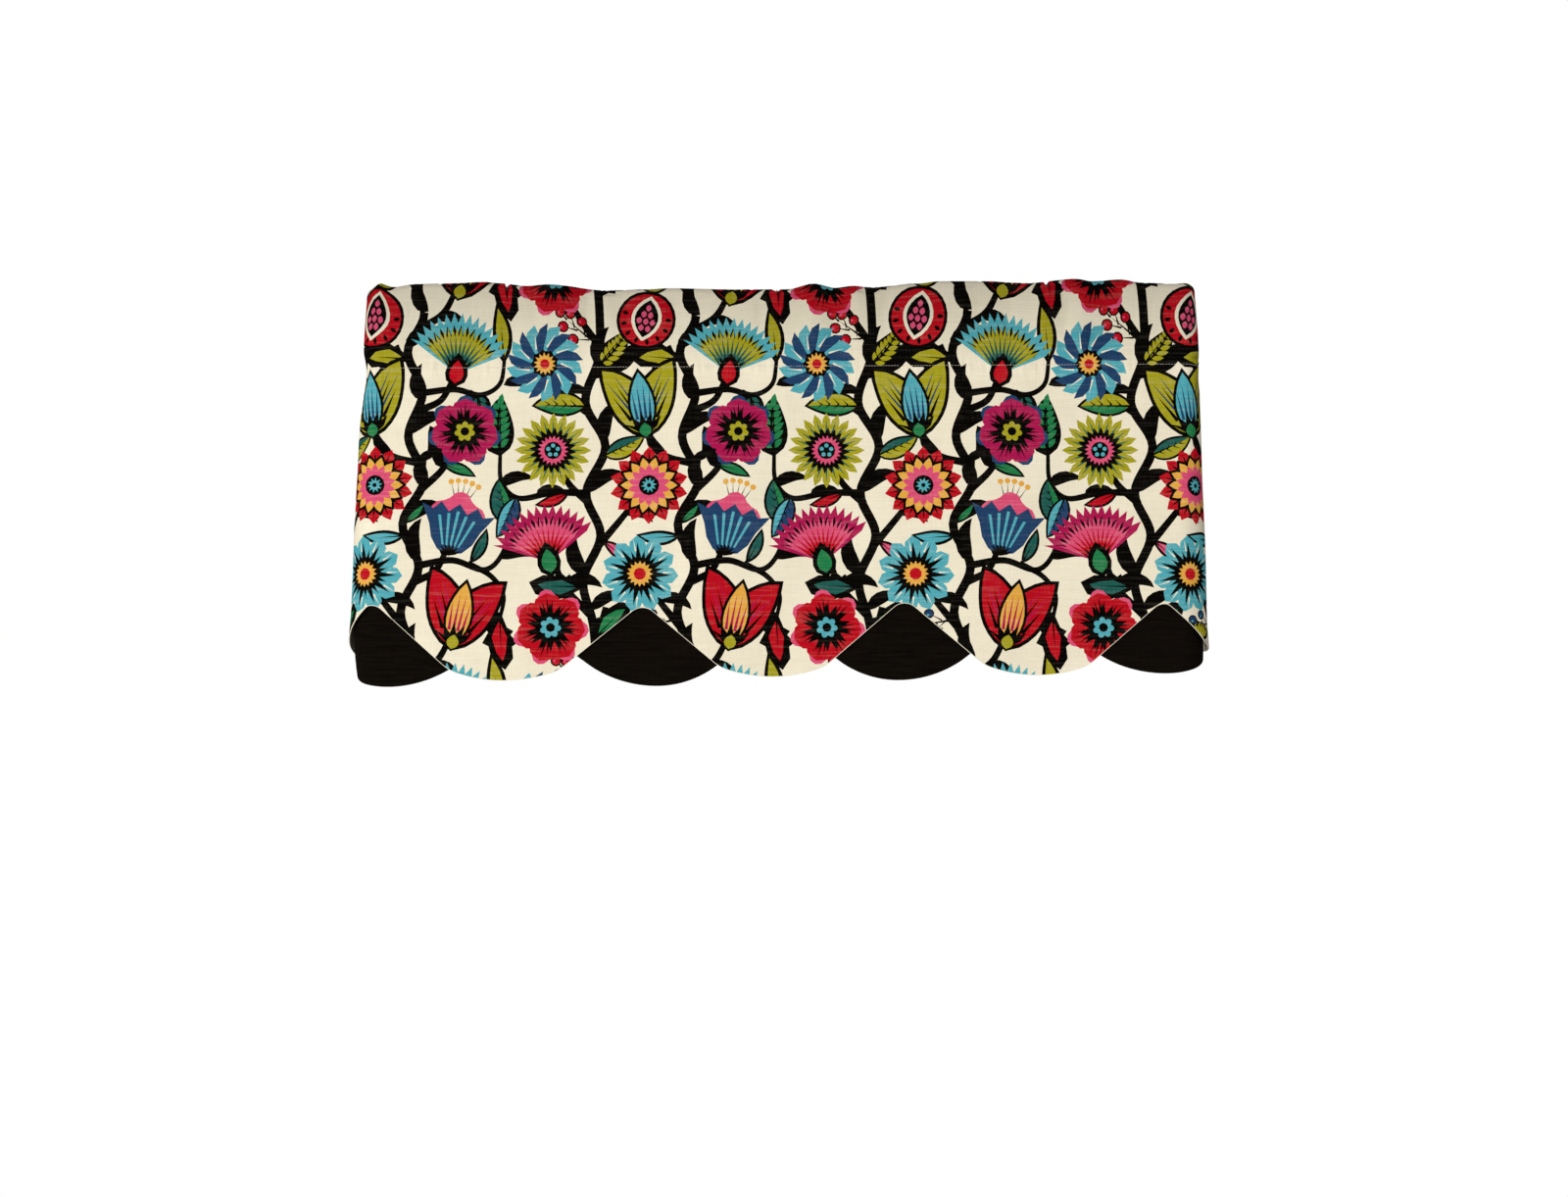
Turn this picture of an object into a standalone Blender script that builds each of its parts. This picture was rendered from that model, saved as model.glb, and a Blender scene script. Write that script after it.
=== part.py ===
"""A scalloped window valance of two layers of cloth, as it hangs from a rod.

The printed cloth folds over the rod to make a pocket, comes back to a seam below it
and hangs from there to a scalloped hem. The black cloth is caught in the same seam and
hangs close behind, with its scallops half a step along, so that they show between the
printed ones. Both layers turn back at the ends to reach the wall.

Metres, with X across the window, Y back to the wall and Z up. The origin is the middle
of the pocket's top edge. "Place" is measured along the cloth from the middle of the
front, "drop" down from the top edge, and "inset" in from the front, towards the wall.
"""

import math

import bmesh
import bpy

CLOTH_THICKNESS = 0.0015
LAYER_GAP = 0.0004
CLOTH_END = 0.554  # place of each cut end, so the cloth is 1.108 long
RETURN_SPLAY = {"left": 1.5, "right": 0.5}  # degrees that each return opens outwards

POCKET_DEPTH = 0.016
SEAM_DROP = 0.0857
SEAM_PULL = 0.0032  # inset of the printed cloth where the seam draws it in
PINCH_DROP = 0.065  # where the pocket's walls start to close towards the seam
PINCH_LENGTH = 0.023
FLAP_BELOW_SEAM = 0.0095
BLACK_ABOVE_SEAM = 0.005
ROUND_STEPS = 6  # facets over the top of the pocket

# Both layers share these columns round the corners, so that their facets stay parallel.
CORNER_COLUMNS = (
    *(0.4190, 0.4243, 0.4295, 0.4347, 0.4400, 0.4460),
    *(0.4520, 0.4580, 0.4640, 0.4700, 0.4800),
)
NEAREST_COLUMNS = 0.0042

# Drop, half width to the left and to the right, radius of the corners.
SIDES_COLUMNS = ("drop", "left", "right", "radius")
SIDES = (
    (0.000, 0.4465, 0.4530, 0.022),
    (0.065, 0.4485, 0.4560, 0.022),
    (0.086, 0.4480, 0.4580, 0.022),
    (0.160, 0.4525, 0.4585, 0.026),
    (0.270, 0.4560, 0.4600, 0.032),
    (0.380, 0.4575, 0.4597, 0.036),
    (0.432, 0.4530, 0.4590, 0.036),
)

# Height of the top edge along the cloth: it rides up and down a little on the rod.
TOP_COLUMNS = ("place", "rise")
TOP_EDGE = (
    (-0.554, 0.004),
    (-0.431, 0.006),
    (-0.413, 0.003),
    (-0.320, 0.008),
    (-0.268, 0.004),
    (-0.185, -0.001),
    (-0.119, 0.001),
    (0.000, 0.000),
    (0.039, 0.005),
    (0.070, 0.002),
    (0.151, 0.006),
    (0.200, 0.009),
    (0.270, 0.007),
    (0.321, 0.011),
    (0.371, 0.010),
    (0.400, 0.007),
    (0.450, 0.008),
    (0.554, 0.005),
)

# Inset of the cloth down the skirt, below the seam.
SKIRT_COLUMNS = ("drop", "inset", "gap")
SKIRT = (
    (0.0857, SEAM_PULL, LAYER_GAP),
    (0.0970, SEAM_PULL, LAYER_GAP),
    (0.1150, 0.0020, 0.0012),
    (0.1700, 0.0008, 0.0024),
    (0.3000, 0.0000, 0.0032),
    (0.4350, -0.0010, 0.0036),
)

# Lows and points of each hem, as place and drop. A low is the bottom of a scallop.
PRINTED_HEM = (
    (-0.5915, 0.3445),
    (-0.5105, 0.3910),
    (-0.4295, 0.3445),
    (-0.2900, 0.4239),
    (-0.1426, 0.3467),
    (-0.0067, 0.4198),
    (0.1340, 0.3420),
    (0.2730, 0.4182),
    (0.4090, 0.3427),
    (0.4900, 0.3890),
    (0.5710, 0.3427),
)
BLACK_HEM = (
    (-0.6930, 0.4300),
    (-0.5520, 0.3600),
    (-0.4108, 0.4301),
    (-0.2700, 0.3600),
    (-0.1270, 0.4291),
    (0.0020, 0.3570),
    (0.1274, 0.4229),
    (0.2680, 0.3490),
    (0.4090, 0.4157),
    (0.5490, 0.3460),
    (0.6900, 0.4150),
)

# Cut of one half scallop, from its low: rounds that steepen, a straight, a round point.
# Each round has its radius and the slope in degrees that it ends at.
PRINTED_ROUNDS = ((0.150, 18.0), (0.045, 41.0))
BLACK_ROUNDS = ((0.120, 29.0), (0.100, 37.0))
POINT_RADIUS = 0.016
HALF_SCALLOP = 0.1385
PRINTED_SHARES = (0.0, 0.17, 0.33, 0.385, 0.44, 0.68, 0.925, 0.965, 1.0)
BLACK_SHARES = (0.0, 0.21, 0.42, 0.50, 0.71, 0.93, 0.965, 1.0)

# Soft folds that stand out of the front, or fall in where the stand is below zero:
# place, spread, stand, and the drops that the fold starts and ends at.
FOLDS = (
    (-0.222, 0.014, 0.0022, -0.010, 0.070),
    (-0.185, 0.012, 0.0018, -0.010, 0.055),
    (0.036, 0.012, 0.0018, -0.010, 0.055),
    (0.088, 0.013, 0.0020, -0.010, 0.065),
    (0.290, 0.013, 0.0020, -0.010, 0.065),
    (0.325, 0.012, 0.0024, -0.010, 0.075),
    (-0.365, 0.055, 0.0026, 0.100, 0.600),
    (-0.215, 0.050, -0.0022, 0.100, 0.600),
    (-0.060, 0.045, 0.0024, 0.100, 0.600),
    (0.065, 0.040, -0.0018, 0.100, 0.600),
    (0.205, 0.055, 0.0028, 0.100, 0.600),
    (0.345, 0.045, -0.0020, 0.100, 0.600),
)
FOLD_FADE = 0.030

BACK_DROPS = (0.080, 0.068, 0.038)
FRONT_DROPS = (0.038, 0.066, 0.077)
PRINTED_SKIRT_SHARES = (0.0, 0.05, 0.14, 0.28, 0.46, 0.64, 0.82, 1.0)
BLACK_SKIRT_SHARES = (0.0, 0.04, 0.10, 0.24, 0.42, 0.62, 0.82, 1.0)


def eased(rows, columns, name, at):
    """The named column at this value of the first one, with level ends between rows."""
    column = columns.index(name)
    if at <= rows[0][0]:
        return rows[0][column]
    for low, high in zip(rows, rows[1:]):
        if at <= high[0]:
            share = (at - low[0]) / (high[0] - low[0])
            share = share * share * (3 - 2 * share)
            return low[column] + share * (high[column] - low[column])
    return rows[-1][column]


def faded(value, start, width):
    """From 0 at the start to 1 a width further on."""
    share = min(max((value - start) / width, 0.0), 1.0)
    return share * share * (3 - 2 * share)


def fold_stand(place, drop):
    """How far the soft folds bring the cloth forward here."""
    stand = 0.0
    for middle, spread, height, start, end in FOLDS:
        reach = math.exp(-(((place - middle) / spread) ** 2))
        down = faded(drop, start, FOLD_FADE) * (1 - faded(drop, end - FOLD_FADE, FOLD_FADE))
        stand += height * reach * down
    return stand


def cloth_point(place, drop, inset):
    """A point of the cloth: round the plan at this drop, then in by the inset."""
    hand, side = (1, "right") if place >= 0 else (-1, "left")
    half_width = eased(SIDES, SIDES_COLUMNS, side, drop)
    radius = eased(SIDES, SIDES_COLUMNS, "radius", drop)
    whole_turn = math.radians(90 - RETURN_SPLAY[side])
    straight = half_width - radius
    turn = min(max(abs(place) - straight, 0.0) / radius, whole_turn)
    past_corner = max(abs(place) - straight - radius * whole_turn, 0.0)
    x = min(abs(place), straight) + radius * math.sin(turn) + past_corner * math.cos(whole_turn)
    y = radius * (1 - math.cos(turn)) + past_corner * math.sin(whole_turn)
    x -= inset * math.sin(turn)
    y += inset * math.cos(turn) - POCKET_DEPTH / 2
    rise = eased(TOP_EDGE, TOP_COLUMNS, "rise", place) * (1 - faded(drop, 0.0, SEAM_DROP))
    return hand * x, y, rise - drop


def half_scallop(rounds):
    """Where each stretch of a half scallop starts, from its low: run, rise, radius, slope."""
    run = rise = slope = 0.0
    pieces = []
    for radius, steepest in rounds:
        steepest = math.radians(steepest)
        pieces.append((run, rise, radius, slope))
        run += radius * (math.sin(steepest) - math.sin(slope))
        rise += radius * (math.cos(slope) - math.cos(steepest))
        slope = steepest
    straight = HALF_SCALLOP - run - POINT_RADIUS * math.sin(slope)
    pieces.append((run, rise, None, slope))
    run += straight
    rise += straight * math.tan(slope)
    pieces.append((run, rise, -POINT_RADIUS, slope))
    return pieces


def scallop_rise(rounds, run):
    """Height over the low, this far along a half scallop."""
    pieces = half_scallop(rounds)
    start, rise, radius, slope = [piece for piece in pieces if piece[0] <= run][-1]
    if radius is None:
        return rise + (run - start) * math.tan(slope)
    sine = min(max(math.sin(slope) + (run - start) / radius, 0.0), 1.0)
    return rise + radius * (math.cos(slope) - math.cos(math.asin(sine)))


def hem_drop(hem, rounds, place):
    """Drop of a hem at this place: each half scallop is the cut, fitted between its rows."""
    whole_rise = scallop_rise(rounds, HALF_SCALLOP)
    for left, right in zip(hem, hem[1:]):
        if place <= right[0]:
            low, point = (left, right) if left[1] > right[1] else (right, left)
            share = abs(place - low[0]) / abs(point[0] - low[0])
            rise = scallop_rise(rounds, share * HALF_SCALLOP) / whole_rise
            return low[1] + rise * (point[1] - low[1])
    raise ValueError("the hem's table ends before the cloth does")


def column_places(hem, shares):
    """Places of the mesh's columns: dense at the points of the hem and round the corners."""
    fixed = [hand * place for place in (*CORNER_COLUMNS, CLOTH_END) for hand in (-1, 1)]
    kept = set(fixed)
    for left, right in zip(hem, hem[1:]):
        low, point = (left, right) if left[1] > right[1] else (right, left)
        for share in shares:
            place = low[0] + share * (point[0] - low[0])
            in_corner = CORNER_COLUMNS[0] < abs(place) < CORNER_COLUMNS[-1]
            near_fixed = min(abs(place - other) for other in fixed) < NEAREST_COLUMNS
            if not (in_corner or near_fixed or abs(place) > CLOTH_END):
                kept.add(place)
    return sorted(kept)


def printed_section(place):
    """(drop, inset) of the printed cloth's outer face, from the end of the flap to the hem."""
    flap = SEAM_PULL + 3 * CLOTH_THICKNESS + 2 * LAYER_GAP
    half_depth = POCKET_DEPTH / 2
    rows = [(SEAM_DROP + FLAP_BELOW_SEAM, flap), (SEAM_DROP, flap)]
    for drop in BACK_DROPS:
        open_share = 1 - faded(drop, PINCH_DROP, PINCH_LENGTH)
        rows.append((drop, flap + (POCKET_DEPTH - flap) * open_share))
    for step in range(ROUND_STEPS + 1):
        angle = math.pi * step / ROUND_STEPS
        rows.append((half_depth * (1 - math.sin(angle)), half_depth * (1 + math.cos(angle))))
    for drop in FRONT_DROPS:
        pinch = SEAM_PULL * faded(drop, PINCH_DROP, PINCH_LENGTH)
        rows.append((drop, pinch - fold_stand(place, drop)))
    hem = hem_drop(PRINTED_HEM, PRINTED_ROUNDS, place)
    for share in PRINTED_SKIRT_SHARES:
        drop = SEAM_DROP + share * (hem - SEAM_DROP)
        rows.append((drop, eased(SKIRT, SKIRT_COLUMNS, "inset", drop) - fold_stand(place, drop)))
    return rows


def black_section(place):
    """(drop, inset) of the black cloth's front face, from the seam to its hem."""
    top = SEAM_DROP - BLACK_ABOVE_SEAM
    hem = hem_drop(BLACK_HEM, BLACK_ROUNDS, place)
    rows = []
    for share in BLACK_SKIRT_SHARES:
        drop = top + share * (hem - top)
        inset = eased(SKIRT, SKIRT_COLUMNS, "inset", drop) + CLOTH_THICKNESS
        inset += eased(SKIRT, SKIRT_COLUMNS, "gap", drop) - fold_stand(place, drop)
        rows.append((drop, inset))
    return rows


def make_material(name, colour, roughness):
    material = bpy.data.materials.new(name)
    material.use_nodes = True
    shader = material.node_tree.nodes["Principled BSDF"]
    shader.inputs["Base Color"].default_value = (*colour, 1.0)
    shader.inputs["Roughness"].default_value = roughness
    shader.inputs["Metallic"].default_value = 0.0
    return material


def make_cloth(name, places, section, material):
    """A sheet over the columns and their sections, given its thickness towards the wall."""
    mesh = bmesh.new()
    columns = []
    for place in places:
        points = [cloth_point(place, drop, inset) for drop, inset in section(place)]
        columns.append([mesh.verts.new(point) for point in points])
    for left, right in zip(columns, columns[1:]):
        for row in range(len(left) - 1):
            mesh.faces.new((left[row], left[row + 1], right[row + 1], right[row]))
    bmesh.ops.recalc_face_normals(mesh, faces=mesh.faces)
    front = min(mesh.faces, key=lambda face: face.calc_center_median().y)
    if front.normal.y > 0:
        bmesh.ops.reverse_faces(mesh, faces=mesh.faces)
    data = bpy.data.meshes.new(name)
    mesh.to_mesh(data)
    mesh.free()
    data.shade_smooth()
    data.materials.append(material)
    cloth = bpy.data.objects.new(name, data)
    bpy.context.scene.collection.objects.link(cloth)
    thickness = cloth.modifiers.new("Cloth thickness", "SOLIDIFY")
    thickness.thickness = CLOTH_THICKNESS
    thickness.offset = -1
    return cloth


def main():
    for thing in list(bpy.data.objects):
        bpy.data.objects.remove(thing)
    printed = make_material("printed cotton", (0.78, 0.72, 0.58), 0.9)
    black = make_material("black cotton", (0.012, 0.010, 0.009), 0.95)
    printed_places = column_places(PRINTED_HEM, PRINTED_SHARES)
    black_places = column_places(BLACK_HEM, BLACK_SHARES)
    make_cloth("printed_layer", printed_places, printed_section, printed)
    make_cloth("black_layer", black_places, black_section, black)


main()
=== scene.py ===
"""The finished look of a scalloped window valance: two hanging layers of cloth.

The printed layer folds over a rod pocket and hangs from the seam below it to a scalloped
hem. The black layer is caught in that seam and shows between the printed scallops.

Metres, with X across the window, Y back to the wall and Z up, from the middle of the
pocket's top edge. "Place" is measured along the cloth from the middle of the front, "drop"
down from the top edge, "inset" in from the front towards the wall, and "run" along the
printed cloth from the top of the pocket: down the front above zero, down the back below it.
The print is drawn flat, in millimetres of cloth.
"""

import math

import bmesh
import bpy
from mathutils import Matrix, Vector
from mathutils.bvhtree import BVHTree
from mathutils.geometry import delaunay_2d_cdt

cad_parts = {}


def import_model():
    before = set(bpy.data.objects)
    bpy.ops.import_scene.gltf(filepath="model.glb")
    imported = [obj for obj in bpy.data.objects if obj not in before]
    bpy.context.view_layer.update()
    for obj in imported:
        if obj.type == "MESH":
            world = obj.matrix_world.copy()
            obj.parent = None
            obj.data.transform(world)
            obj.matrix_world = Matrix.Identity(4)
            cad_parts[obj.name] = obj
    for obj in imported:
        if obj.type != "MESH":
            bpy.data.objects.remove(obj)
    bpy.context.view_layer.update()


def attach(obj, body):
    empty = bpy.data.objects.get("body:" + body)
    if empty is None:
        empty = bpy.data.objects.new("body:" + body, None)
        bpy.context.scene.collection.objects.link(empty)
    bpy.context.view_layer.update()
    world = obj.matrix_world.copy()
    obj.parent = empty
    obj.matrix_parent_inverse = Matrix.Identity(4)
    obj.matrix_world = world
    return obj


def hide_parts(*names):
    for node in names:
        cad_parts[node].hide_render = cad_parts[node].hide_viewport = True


# ---------------------------------------------------------------- cloth, as it hangs

CAD_THICKNESS = 0.0015
THICKNESS = 0.0011  # of the sheets, thinner than the solids they stand for
LAYER_GAP = 0.0004
CLOTH_END = 0.554
RETURN_SPLAY = {"left": 1.5, "right": 0.5}

POCKET_DEPTH = 0.016
TOP_RADIUS = POCKET_DEPTH / 2
SEAM_DROP = 0.0857
SEAM_PULL = 0.0032
PINCH_DROP = 0.065
PINCH_LENGTH = 0.023
FLAP_BELOW_SEAM = 0.0095
BLACK_ABOVE_SEAM = 0.005

SIDES_COLUMNS = ("drop", "left", "right", "radius")
SIDES = (
    (0.000, 0.4465, 0.4530, 0.022),
    (0.065, 0.4485, 0.4560, 0.022),
    (0.086, 0.4480, 0.4580, 0.022),
    (0.160, 0.4525, 0.4585, 0.026),
    (0.270, 0.4560, 0.4600, 0.032),
    (0.380, 0.4575, 0.4597, 0.036),
    (0.432, 0.4530, 0.4590, 0.036),
)

TOP_COLUMNS = ("place", "rise")
TOP_EDGE = (
    (-0.554, 0.0040),
    (-0.445, 0.0025),
    (-0.431, 0.0066),
    (-0.415, 0.0025),
    (-0.390, 0.0057),
    (-0.360, 0.0064),
    (-0.315, 0.0081),
    (-0.300, 0.0066),
    (-0.270, 0.0036),
    (-0.250, 0.0055),
    (-0.185, -0.0014),
    (-0.140, -0.0002),
    (-0.119, 0.0011),
    (-0.050, -0.0002),
    (0.010, 0.0000),
    (0.039, 0.0062),
    (0.063, 0.0016),
    (0.081, 0.0037),
    (0.099, 0.0021),
    (0.151, 0.0063),
    (0.175, 0.0089),
    (0.224, 0.0089),
    (0.270, 0.0068),
    (0.321, 0.0115),
    (0.339, 0.0089),
    (0.371, 0.0108),
    (0.391, 0.0074),
    (0.429, 0.0059),
    (0.450, 0.0079),
    (0.554, 0.0050),
)

SKIRT_COLUMNS = ("drop", "inset", "gap")
SKIRT = (
    (0.0857, SEAM_PULL, LAYER_GAP),
    (0.0970, SEAM_PULL, LAYER_GAP),
    (0.1150, 0.0020, 0.0012),
    (0.1700, 0.0008, 0.0024),
    (0.3000, 0.0000, 0.0032),
    (0.4350, -0.0010, 0.0036),
)

# Lows and points of each hem, as place and drop. A low is the bottom of a scallop.
PRINTED_HEM = (
    (-0.5915, 0.3445),
    (-0.5105, 0.3910),
    (-0.4295, 0.3445),
    (-0.2900, 0.4239),
    (-0.1426, 0.3467),
    (-0.0067, 0.4198),
    (0.1340, 0.3420),
    (0.2730, 0.4182),
    (0.4090, 0.3427),
    (0.4900, 0.3890),
    (0.5710, 0.3427),
)
BLACK_HEM = (
    (-0.6930, 0.4300),
    (-0.5520, 0.3600),
    (-0.4108, 0.4301),
    (-0.2700, 0.3600),
    (-0.1270, 0.4291),
    (0.0020, 0.3570),
    (0.1274, 0.4229),
    (0.2680, 0.3490),
    (0.4090, 0.4157),
    (0.5490, 0.3460),
    (0.6900, 0.4150),
)

# Cut of one half scallop, from its low: rounds that steepen, a straight, a round point.
# Each round has its radius and the slope in degrees that it ends at.
PRINTED_ROUNDS = ((0.150, 18.0), (0.045, 41.0))
BLACK_ROUNDS = ((0.120, 29.0), (0.100, 37.0))
POINT_RADIUS = 0.016
HALF_SCALLOP = 0.1385

# Soft folds that stand out of the front, or fall in where the stand is below zero:
# place, spread, stand, and the drops that the fold starts and ends at.
FOLDS = (
    (-0.222, 0.014, 0.0030, -0.010, 0.080),
    (-0.185, 0.012, 0.0026, -0.010, 0.068),
    (0.036, 0.012, 0.0024, -0.010, 0.065),
    (0.088, 0.013, 0.0029, -0.010, 0.078),
    (0.290, 0.013, 0.0028, -0.010, 0.075),
    (0.325, 0.012, 0.0032, -0.010, 0.085),
    (-0.365, 0.055, 0.0026, 0.100, 0.600),
    (-0.215, 0.050, -0.0022, 0.100, 0.600),
    (-0.060, 0.045, 0.0024, 0.100, 0.600),
    (0.065, 0.040, -0.0018, 0.100, 0.600),
    (0.205, 0.055, 0.0028, 0.100, 0.600),
    (0.345, 0.045, -0.0020, 0.100, 0.600),
)
FOLD_FADE = 0.030
FOLD_REACH = 3  # spreads from its middle to where a fold ends

# Small creases between the rod and the seam, where the pocket is gathered a little, and
# short ones that the seam's thread draws just below it, in the same columns.
CREASES = (
    (-0.424, 0.006, 0.0016, 0.004, 0.060),
    (-0.390, 0.008, -0.0014, 0.000, 0.080),
    (-0.345, 0.007, 0.0013, 0.000, 0.050),
    (-0.300, 0.006, 0.0014, 0.010, 0.085),
    (-0.262, 0.007, -0.0014, -0.010, 0.060),
    (-0.204, 0.005, -0.0018, -0.010, 0.065),
    (-0.150, 0.008, 0.0012, -0.010, 0.070),
    (-0.112, 0.006, -0.0013, -0.010, 0.055),
    (-0.070, 0.007, 0.0013, 0.010, 0.085),
    (-0.018, 0.006, -0.0014, -0.010, 0.060),
    (0.058, 0.005, -0.0019, -0.010, 0.070),
    (0.118, 0.007, -0.0014, -0.010, 0.060),
    (0.160, 0.006, 0.0013, 0.000, 0.080),
    (0.205, 0.007, 0.0012, -0.010, 0.055),
    (0.248, 0.006, -0.0014, -0.010, 0.070),
    (0.307, 0.005, -0.0020, -0.010, 0.070),
    (0.352, 0.006, -0.0016, -0.010, 0.065),
    (0.392, 0.007, 0.0014, 0.000, 0.080),
    (0.436, 0.006, 0.0013, 0.000, 0.060),
    (-0.330, 0.012, -0.0007, 0.088, 0.170),
    (-0.255, 0.010, 0.0007, 0.088, 0.150),
    (-0.120, 0.012, -0.0008, 0.088, 0.180),
    (0.010, 0.010, 0.0006, 0.088, 0.150),
    (0.150, 0.012, -0.0008, 0.088, 0.190),
    (0.262, 0.010, 0.0007, 0.088, 0.160),
    (0.400, 0.010, -0.0007, 0.088, 0.170),
)

# Ripples that the stitching leaves along the seam: length of the ripple, height, start.
SEAM_RIPPLES = ((0.0113, 0.00022, 0.0), (0.0071, 0.00014, 1.9), (0.0290, 0.00030, 0.7))
RIPPLE_REACH = 0.009
# Slack of the whole skirt, the same way.
SLACK = ((0.137, 0.00045, 0.4), (0.083, 0.00030, 2.1), (0.051, 0.00018, 4.0))
SLACK_SLANT = 0.25
SLACK_FADE = 0.06
HEM_CURL = 0.0011  # how far the last of the skirt leans out
HEM_CURL_LENGTH = 0.030


def eased(rows, columns, name, at):
    """The named column at this value of the first one, with level ends between rows."""
    column = columns.index(name)
    if at <= rows[0][0]:
        return rows[0][column]
    for low, high in zip(rows, rows[1:]):
        if at <= high[0]:
            share = (at - low[0]) / (high[0] - low[0])
            share = share * share * (3 - 2 * share)
            return low[column] + share * (high[column] - low[column])
    return rows[-1][column]


def faded(value, start, width):
    """From 0 at the start to 1 a width further on."""
    share = min(max((value - start) / width, 0.0), 1.0)
    return share * share * (3 - 2 * share)


def waves(rows, at):
    """Sum of the rows' waves here. Each has a length, a height and a start."""
    return sum(height * math.sin(math.tau * at / length + start) for length, height, start in rows)


def fold_stand(place, drop):
    """How far folds, creases and slack bring the cloth forward here."""
    stand = 0.0
    for middle, spread, height, start, end in (*FOLDS, *CREASES):
        if abs(place - middle) > FOLD_REACH * spread:
            continue
        reach = math.exp(-(((place - middle) / spread) ** 2))
        down = faded(drop, start, FOLD_FADE) * (1 - faded(drop, end - FOLD_FADE, FOLD_FADE))
        stand += height * reach * down
    near_seam = math.exp(-(((drop - SEAM_DROP) / RIPPLE_REACH) ** 2))
    stand += near_seam * waves(SEAM_RIPPLES, place)
    slack = waves(SLACK, place + SLACK_SLANT * drop)
    return stand + slack * faded(drop, SEAM_DROP, SLACK_FADE)


def cloth_point(place, drop, inset):
    """A point of the cloth: round the plan at this drop, then in by the inset."""
    hand, side = (1, "right") if place >= 0 else (-1, "left")
    half_width = eased(SIDES, SIDES_COLUMNS, side, drop)
    radius = eased(SIDES, SIDES_COLUMNS, "radius", drop)
    whole_turn = math.radians(90 - RETURN_SPLAY[side])
    straight = half_width - radius
    turn = min(max(abs(place) - straight, 0.0) / radius, whole_turn)
    past_corner = max(abs(place) - straight - radius * whole_turn, 0.0)
    x = min(abs(place), straight) + radius * math.sin(turn) + past_corner * math.cos(whole_turn)
    y = radius * (1 - math.cos(turn)) + past_corner * math.sin(whole_turn)
    x -= inset * math.sin(turn)
    y += inset * math.cos(turn) - POCKET_DEPTH / 2
    rise = eased(TOP_EDGE, TOP_COLUMNS, "rise", place) * (1 - faded(drop, 0.0, SEAM_DROP))
    return Vector((hand * x, y, rise - drop))


def half_scallop(rounds):
    """Where each stretch of a half scallop starts, from its low: run, rise, radius, slope."""
    run = rise = slope = 0.0
    pieces = []
    for radius, steepest in rounds:
        steepest = math.radians(steepest)
        pieces.append((run, rise, radius, slope))
        run += radius * (math.sin(steepest) - math.sin(slope))
        rise += radius * (math.cos(slope) - math.cos(steepest))
        slope = steepest
    straight = HALF_SCALLOP - run - POINT_RADIUS * math.sin(slope)
    pieces.append((run, rise, None, slope))
    run += straight
    rise += straight * math.tan(slope)
    pieces.append((run, rise, -POINT_RADIUS, slope))
    return pieces


def scallop_rise(rounds, run):
    """Height over the low, this far along a half scallop."""
    start, rise, radius, slope = [piece for piece in half_scallop(rounds) if piece[0] <= run][-1]
    if radius is None:
        return rise + (run - start) * math.tan(slope)
    sine = min(max(math.sin(slope) + (run - start) / radius, 0.0), 1.0)
    return rise + radius * (math.cos(slope) - math.cos(math.asin(sine)))


def hem_drop(hem, rounds, place):
    """Drop of a hem at this place: each half scallop is the cut, fitted between its rows."""
    whole_rise = scallop_rise(rounds, HALF_SCALLOP)
    for left, right in zip(hem, hem[1:]):
        if place <= right[0]:
            low, point = (left, right) if left[1] > right[1] else (right, left)
            share = abs(place - low[0]) / abs(point[0] - low[0])
            rise = scallop_rise(rounds, share * HALF_SCALLOP) / whole_rise
            return low[1] + rise * (point[1] - low[1])
    raise ValueError("the hem's table ends before the cloth does")


# The quarter turn over the top of the pocket takes more cloth than its drop.
QUARTER = TOP_RADIUS * math.pi / 2
TURN_SPARE = QUARTER - TOP_RADIUS
FLAP_RUN = -(SEAM_DROP + FLAP_BELOW_SEAM + TURN_SPARE)


def printed_point(place, run, depth=0.0):
    """A point of the printed cloth, this deep below its outer face."""
    drop = abs(run) - TURN_SPARE
    if abs(run) <= QUARTER:
        angle = run / TOP_RADIUS
        radius = TOP_RADIUS - depth
        lift = fold_stand(place, 0.0) * faded(run, -QUARTER, 2 * QUARTER)
        return cloth_point(
            place,
            TOP_RADIUS - radius * math.cos(angle),
            TOP_RADIUS - radius * math.sin(angle) - lift,
        )
    if run < 0:
        flap = SEAM_PULL + 3 * CAD_THICKNESS + 2 * LAYER_GAP
        open_share = 1 - faded(drop, PINCH_DROP, PINCH_LENGTH)
        return cloth_point(place, drop, flap + (POCKET_DEPTH - flap) * open_share - depth)
    if drop < SEAM_DROP:
        inset = SEAM_PULL * faded(drop, PINCH_DROP, PINCH_LENGTH)
    else:
        inset = eased(SKIRT, SKIRT_COLUMNS, "inset", drop)
    hem = hem_drop(PRINTED_HEM, PRINTED_ROUNDS, place)
    curl = HEM_CURL * faded(drop, hem - HEM_CURL_LENGTH, HEM_CURL_LENGTH)
    return cloth_point(place, drop, inset - fold_stand(place, drop) - curl + depth)


def black_point(place, drop, depth=0.0):
    """A point of the black cloth, this deep behind its front face."""
    inset = eased(SKIRT, SKIRT_COLUMNS, "inset", drop) + CAD_THICKNESS
    inset += eased(SKIRT, SKIRT_COLUMNS, "gap", drop) - fold_stand(place, drop)
    return cloth_point(place, drop, inset + depth)


# ---------------------------------------------------------------- print

CREAM, BLACK, RED, MAGENTA, PINK = "cream", "black", "red", "magenta", "pink"
TURQUOISE, NAVY, LIME, GREEN, TEAL, AMBER = "turquoise", "navy", "lime", "green", "teal", "amber"

REPEAT = (292.0, 372.0)


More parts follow.
